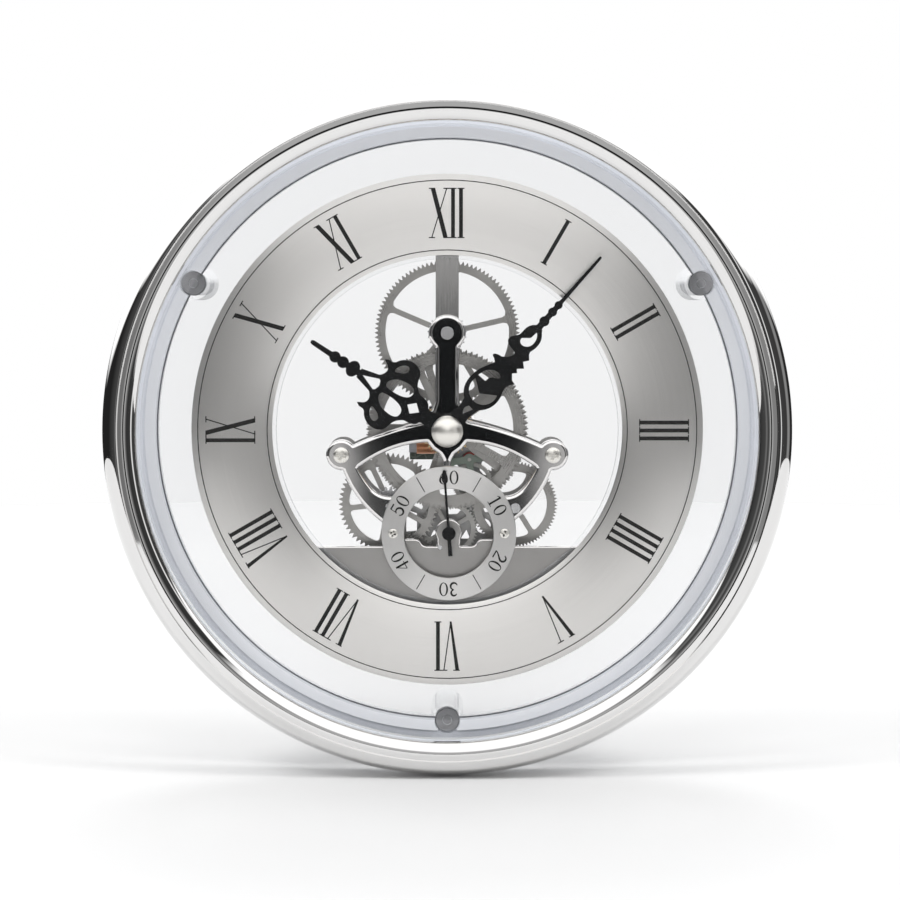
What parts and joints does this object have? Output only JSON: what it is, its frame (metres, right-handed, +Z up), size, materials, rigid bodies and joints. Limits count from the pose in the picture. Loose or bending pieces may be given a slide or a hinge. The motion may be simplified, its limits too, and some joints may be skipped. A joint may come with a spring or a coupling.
{
  "type": "skeleton clock insert",
  "caption": "Round chrome-rimmed clock insert with a glass front, a clear drum case and an open gear movement that turns the hour, minute and seconds hands.",
  "frame": {"origin": "on the clock's axis, in the plane of the bezel's seating face (the panel face that the clock is let into)", "axes": "+Z up through twelve o'clock, the dial faces -Y, +Y runs back through the case, +X is to the right as seen from the front"},
  "size_m": [0.15, 0.043, 0.15],
  "materials": {
    "chrome_trim": "polished chrome plate",
    "front_glass": "clear, polished",
    "gasket": "matte translucent grey",
    "clear_case": "clear moulded plastic",
    "clear_dial": "clear polished plastic",
    "grey_plastic": "moulded, matte",
    "bright_screws": "bright nickel plate",
    "satin_dial": "satin, brushed in circles",
    "black_print": "black printed ink",
    "polished_frame": "polished, dark reflections",
    "satin_frame": "satin",
    "brass_bushes": "plain machined",
    "steel_arbors": "turned and burnished",
    "nickel_wheels": "nickel plated, satin",
    "nylon_wheels": "moulded, satin",
    "black_hands": "gloss black",
    "black_plastic": "moulded, matte",
    "rotor_magnet": "moulded, satin red",
    "moulded_cock": "moulded, grey-green",
    "stator_iron": "stamped",
    "coil_wire": "enamelled copper wire",
    "circuit_board": "lacquered laminate",
    "cell_jacket": "plain printed sleeve"
  },
  "bodies": {
    "case": {"bezel": "chrome_trim", "front_glass": "front_glass", "glass_gasket": "gasket", "rear_case": "clear_case", "case_inserts": "grey_plastic", "case_screws": "bright_screws", "dial_plate": "clear_dial", "chapter_ring": "satin_dial", "chapter_lines": "black_print", "hour_numerals": "black_print", "top_bar": "polished_frame", "front_bridge": "polished_frame", "lower_cover": "satin_frame", "rear_plate": "satin_frame", "pillars": "bright_screws", "pillar_screws": "bright_screws", "frame_screws": "bright_screws", "arbor_bushes": "brass_bushes", "idler_stud": "steel_arbors", "seconds_dial": "satin_dial", "seconds_numerals": "black_print", "seconds_dial_screws": "bright_screws", "drive_cock": "moulded_cock", "drive_posts": "steel_arbors", "stator": "stator_iron", "coil_core": "stator_iron", "coil_winding": "coil_wire", "circuit_board": "circuit_board", "quartz_crystal": "bright_screws", "battery_box": "black_plastic", "battery_cell": "cell_jacket", "battery_contacts": "bright_screws"},
    "minute": {"centre_arbor": "steel_arbors", "centre_wheel": "nickel_wheels", "cannon_pinion": "brass_bushes", "minute_hand": "black_hands", "cap_nut": "chrome_trim", "set_knob": "black_plastic"},
    "hour": {"hour_wheel": "nickel_wheels", "hour_pipe": "brass_bushes", "hour_hand": "black_hands"},
    "top": {"top_wheel": "nickel_wheels", "top_pinion": "steel_arbors"},
    "third": {"third_wheel": "nickel_wheels", "third_pinion": "steel_arbors"},
    "intermediate": {"intermediate_wheel": "nickel_wheels", "intermediate_pinion": "steel_arbors"},
    "idler": {"idler_pinion": "nickel_wheels"},
    "seconds": {"seconds_wheel": "nylon_wheels", "seconds_pinion": "steel_arbors", "seconds_hand": "black_hands"},
    "reduction": {"reduction_wheel": "nickel_wheels", "reduction_arbor": "steel_arbors"},
    "fifth": {"fifth_wheel": "nylon_wheels", "fifth_pinion": "steel_arbors"},
    "rotor": {"rotor_magnet": "rotor_magnet", "rotor_pinion": "nylon_wheels"}
  },
  "joints": [
    {"name": "minute_turn", "type": "hinge", "parent": "case", "child": "minute", "pos_m": [0, 0, 0], "axis": [0, 1, 0], "continuous": true},
    {"name": "hour_turn", "type": "hinge", "parent": "case", "child": "hour", "pos_m": [0, 0, 0], "axis": [0, 1, 0], "continuous": true},
    {"name": "top_turn", "type": "hinge", "parent": "case", "child": "top", "pos_m": [0, 0, 0.02145], "axis": [0, 1, 0], "continuous": true},
    {"name": "third_turn", "type": "hinge", "parent": "case", "child": "third", "pos_m": [-0.01305, 0, -0.0168], "axis": [0, 1, 0], "continuous": true},
    {"name": "intermediate_turn", "type": "hinge", "parent": "case", "child": "intermediate", "pos_m": [-0.00857, 0, -0.02968], "axis": [0, 1, 0], "continuous": true},
    {"name": "idler_turn", "type": "hinge", "parent": "case", "child": "idler", "pos_m": [-0.0016, 0, -0.02618], "axis": [0, 1, 0], "continuous": true},
    {"name": "seconds_turn", "type": "hinge", "parent": "case", "child": "seconds", "pos_m": [0.00035, 0, -0.0228], "axis": [0, 1, 0], "continuous": true},
    {"name": "reduction_turn", "type": "hinge", "parent": "case", "child": "reduction", "pos_m": [0.01508, 0, -0.01727], "axis": [0, 1, 0], "continuous": true},
    {"name": "fifth_turn", "type": "hinge", "parent": "case", "child": "fifth", "pos_m": [0.0056, 0, -0.01223], "axis": [0, 1, 0], "continuous": true},
    {"name": "rotor_turn", "type": "hinge", "parent": "case", "child": "rotor", "pos_m": [0.00496, 0, -0.00702], "axis": [0, 1, 0], "continuous": true}
  ],
  "couplings": [
    {"joint": "hour_turn", "follows": "minute_turn", "ratio": 0.083333},
    {"joint": "top_turn", "follows": "minute_turn", "ratio": -0.35714},
    {"joint": "third_turn", "follows": "minute_turn", "ratio": -5},
    {"joint": "intermediate_turn", "follows": "minute_turn", "ratio": 20},
    {"joint": "idler_turn", "follows": "minute_turn", "ratio": -60},
    {"joint": "seconds_turn", "follows": "minute_turn", "ratio": 60},
    {"joint": "reduction_turn", "follows": "minute_turn", "ratio": -39.474},
    {"joint": "fifth_turn", "follows": "minute_turn", "ratio": 300},
    {"joint": "rotor_turn", "follows": "minute_turn", "ratio": -1800}
  ]
}
